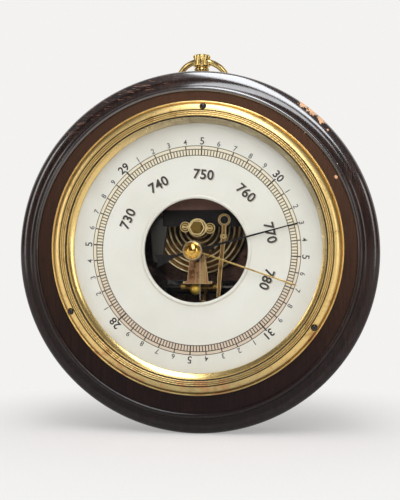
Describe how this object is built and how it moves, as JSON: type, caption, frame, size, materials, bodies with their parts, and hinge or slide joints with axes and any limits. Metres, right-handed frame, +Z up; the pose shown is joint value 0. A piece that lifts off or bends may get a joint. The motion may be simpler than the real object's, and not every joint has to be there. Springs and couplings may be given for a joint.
{
  "type": "aneroid barometer",
  "caption": "Round wall barometer: dark turned wood surround, brass bezel, open-centre dial over a corrugated-capsule movement, hung by a ring.",
  "frame": {"origin": "centre of the surround's flat back face, where it lies against the wall", "axes": "+Z up, +X to the right as the dial is read, +Y into the wall; the dial faces -Y"},
  "size_m": [0.2, 0.0601, 0.2124],
  "materials": {
    "stained_wood": "dark stained and polished, satin on the flat band",
    "black_board": "matt black japan",
    "brass": "turned, lightly aged",
    "polished_brass": "polished",
    "lacquered_brass": "lacquered, satin",
    "bronzed_steel": "brown-black lacquer",
    "blued_steel": "blued",
    "blackened_steel": "black",
    "enamelled_dial": "matt cream-white enamel",
    "clear_glass": "polished",
    "black_rubber": "matt",
    "bronze_diaphragm": "tarnished, corrugated",
    "bronze_wire": "drawn",
    "black_enamel": "gloss black enamel"
  },
  "bodies": {
    "case": {"wood_surround": "stained_wood", "back_cover": "black_board", "back_cover_screws": "brass", "movement_can": "bronzed_steel", "can_screws": "blued_steel", "dial": "enamelled_dial", "dial_screws": "brass", "sight_ring": "polished_brass", "glass": "clear_glass", "glass_seal": "black_rubber", "bezel": "lacquered_brass", "bezel_screws": "blackened_steel", "spindle_bush": "brass", "knob_washer": "polished_brass", "base_plate": "bronzed_steel", "base_screws": "brass", "capsule": "bronze_diaphragm", "bridge": "black_enamel", "bridge_screws": "brass", "rocker_bracket": "black_enamel", "cock": "brass", "cock_screws": "brass", "stud_arm": "black_enamel", "stud_arm_screw": "blued_steel", "hairspring_stud": "brass", "hairspring": "bronze_wire", "pendant_stem": "brass", "pendant_head": "brass"},
    "pressure_hand": {"main_hand": "blackened_steel", "hand_hub": "blackened_steel", "hand_arbor": "blued_steel"},
    "set_pointer": {"set_hand": "polished_brass", "set_spindle": "polished_brass", "set_knob": "polished_brass"},
    "stem": {"capsule_stem": "brass", "stem_pin": "blued_steel", "stem_clip": "brass", "clip_screws": "brass", "stem_nut": "brass"},
    "lever": {"lever_shaft": "blued_steel", "lever_arm": "blued_steel", "key_lever": "brass", "lever_rivet": "brass"},
    "rocker": {"rocker_shaft": "blued_steel", "rocker_arms": "brass", "balance_ball": "polished_brass"},
    "chain_run": {"chain": "blued_steel"},
    "regulator": {"regulator_screw": "blued_steel"},
    "ring": {"hanging_ring": "brass"}
  },
  "joints": [
    {"name": "hand_turn", "type": "hinge", "parent": "case", "child": "pressure_hand", "pos_m": [0, -0.03, 0.001], "axis": [0, 1, 0], "range_deg": [-206, 63], "stiffness_Nm_per_rad": 0.004},
    {"name": "set_turn", "type": "hinge", "parent": "case", "child": "set_pointer", "pos_m": [0, -0.036, 0.001], "axis": [0, 1, 0], "continuous": true},
    {"name": "stem_slide", "type": "slide", "parent": "case", "child": "stem", "axis": [0, -1, 0], "range_m": [-0.0000643, 0.0002103]},
    {"name": "lever_swing", "type": "hinge", "parent": "case", "child": "lever", "pos_m": [0, -0.0174, 0.0182], "axis": [1, 0, 0], "range_deg": [-2.7, 0.85]},
    {"name": "rocker_swing", "type": "hinge", "parent": "case", "child": "rocker", "pos_m": [0, -0.013, -0.02], "axis": [1, 0, 0], "range_deg": [-25.2, 7.7]},
    {"name": "chain_slide", "type": "slide", "parent": "case", "child": "chain_run", "axis": [0, 0, 1], "range_m": [-0.0017, 0.0054]},
    {"name": "regulator_turn", "type": "hinge", "parent": "case", "child": "regulator", "pos_m": [0, -0.003, 0.0137], "axis": [0, 1, 0], "range_deg": [-360, 360]},
    {"name": "ring_swing", "type": "hinge", "parent": "case", "child": "ring", "pos_m": [0, -0.0052, 0.109], "axis": [1, 0, 0], "range_deg": [0, 236]}
  ],
  "couplings": [
    {"joint": "hand_turn", "follows": "stem_slide", "rad_per_m": -17094},
    {"joint": "lever_swing", "follows": "stem_slide", "rad_per_m": -222.2},
    {"joint": "rocker_swing", "follows": "stem_slide", "rad_per_m": -2085},
    {"joint": "chain_slide", "follows": "stem_slide", "ratio": 25.64}
  ]
}
